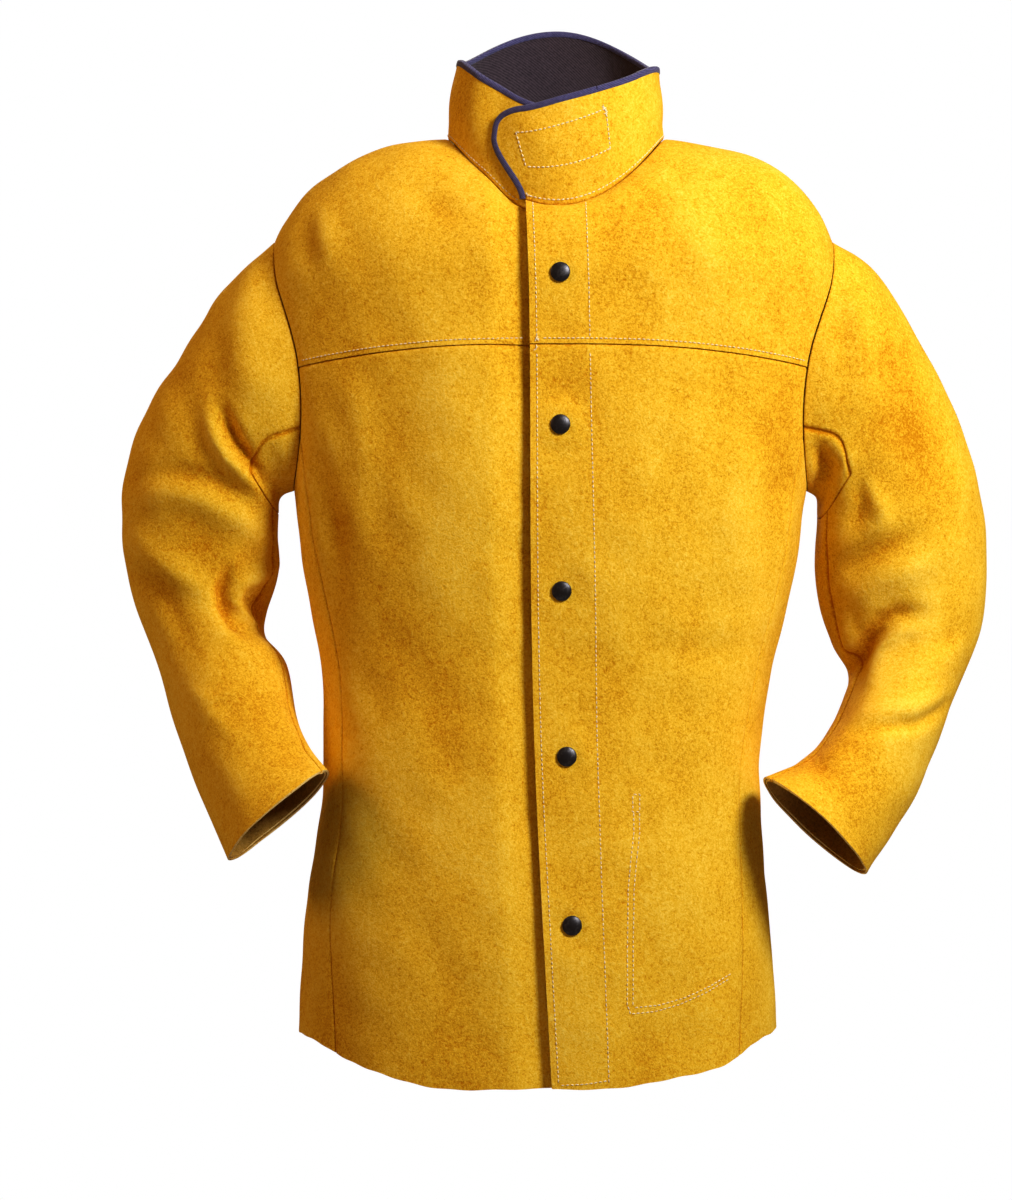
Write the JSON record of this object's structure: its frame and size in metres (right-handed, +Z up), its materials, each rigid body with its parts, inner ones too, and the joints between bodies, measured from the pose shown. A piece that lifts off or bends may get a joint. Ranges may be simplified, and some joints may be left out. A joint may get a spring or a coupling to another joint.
{
  "type": "leather welding jacket",
  "caption": "Split-leather welding jacket with a stand collar, snap front placket, yoke and full sleeves, worn hands on hips.",
  "frame": {"origin": "middle line of the neck, level with the side neck points", "axes": "+Z up, the front of the jacket faces -Y, +X is the wearer's left"},
  "size_m": [0.716, 0.2492, 0.8659],
  "materials": {
    "suede": "golden yellow split cowhide, napped suede",
    "suede_inside": "paler napped flesh side",
    "binding": "navy cotton binding tape",
    "lining": "dark flannel",
    "snap_black": "gunmetal enamel, satin",
    "snap_steel": "nickel plated",
    "tape": "hook and loop tape"
  },
  "bodies": {
    "torso": {"right_front_panel": "suede", "right_front_yoke": "suede", "left_front_panel": "suede", "left_front_yoke": "suede", "back_panel": "suede", "back_yoke": "suede", "left_side_panel": "suede", "right_side_panel": "suede", "right_front_facing": "suede_inside", "inside_pocket": "lining", "snap_stud_1": "snap_steel", "snap_stud_2": "snap_steel", "snap_stud_3": "snap_steel", "snap_stud_4": "snap_steel", "snap_stud_5": "snap_steel", "snap_post_1": "snap_steel", "snap_post_2": "snap_steel", "snap_post_3": "snap_steel", "snap_post_4": "snap_steel", "snap_post_5": "snap_steel", "collar_outer": "suede", "collar_lining": "lining", "collar_binding": "binding", "collar_loop_tape": "tape", "hanger_loop": "suede_inside", "right_sleeve_head": "suede", "right_underarm_gusset": "suede", "left_sleeve_head": "suede", "left_underarm_gusset": "suede"},
    "left_front": {"left_front_placket": "suede", "left_yoke_placket": "suede", "placket_facing": "suede_inside", "snap_cap_1": "snap_black", "snap_cap_2": "snap_black", "snap_cap_3": "snap_black", "snap_cap_4": "snap_black", "snap_cap_5": "snap_black", "snap_socket_1": "snap_steel", "snap_socket_2": "snap_steel", "snap_socket_3": "snap_steel", "snap_socket_4": "snap_steel", "snap_socket_5": "snap_steel"},
    "collar_flap": {"collar_flap_outer": "suede", "collar_flap_lining": "lining", "collar_flap_binding": "binding", "collar_hook_tape": "tape"},
    "right_upper_sleeve": {"right_upper_sleeve": "suede", "right_elbow": "suede"},
    "right_forearm": {"right_forearm": "suede", "right_cuff_facing": "suede_inside", "right_cuff_snap_cap": "snap_black", "right_cuff_snap_post": "snap_steel"},
    "left_upper_sleeve": {"left_upper_sleeve": "suede", "left_elbow": "suede"},
    "left_forearm": {"left_forearm": "suede", "left_cuff_facing": "suede_inside", "left_cuff_snap_cap": "snap_black", "left_cuff_snap_post": "snap_steel"}
  },
  "joints": [
    {"name": "left_front_opening", "type": "hinge", "parent": "torso", "child": "left_front", "pos_m": [0.0455, -0.1195, -0.4], "axis": [-0.0239, 0.0267, 0.9994], "range_deg": [0, 75]},
    {"name": "collar_flap_peel", "type": "hinge", "parent": "left_front", "child": "collar_flap", "pos_m": [0.0376, -0.0868, 0], "axis": [0, 0, 1], "range_deg": [0, 45]},
    {"name": "right_shoulder", "type": "hinge", "parent": "torso", "child": "right_upper_sleeve", "pos_m": [-0.245, 0.012, -0.23], "axis": [0, 1, 0], "range_deg": [0, 20], "deforming": ["right_sleeve_head", "right_underarm_gusset"]},
    {"name": "right_elbow", "type": "hinge", "parent": "right_upper_sleeve", "child": "right_forearm", "pos_m": [-0.292, 0.03, -0.355], "axis": [0.5554, 0.8195, -0.1411], "range_deg": [0, 38], "deforming": ["right_elbow"]},
    {"name": "left_shoulder", "type": "hinge", "parent": "torso", "child": "left_upper_sleeve", "pos_m": [0.245, 0.012, -0.23], "axis": [0, -1, 0], "range_deg": [0, 20], "deforming": ["left_sleeve_head", "left_underarm_gusset"]},
    {"name": "left_elbow", "type": "hinge", "parent": "left_upper_sleeve", "child": "left_forearm", "pos_m": [0.297, 0.03, -0.375], "axis": [0.5554, -0.8195, 0.1411], "range_deg": [0, 38], "deforming": ["left_elbow"]}
  ]
}
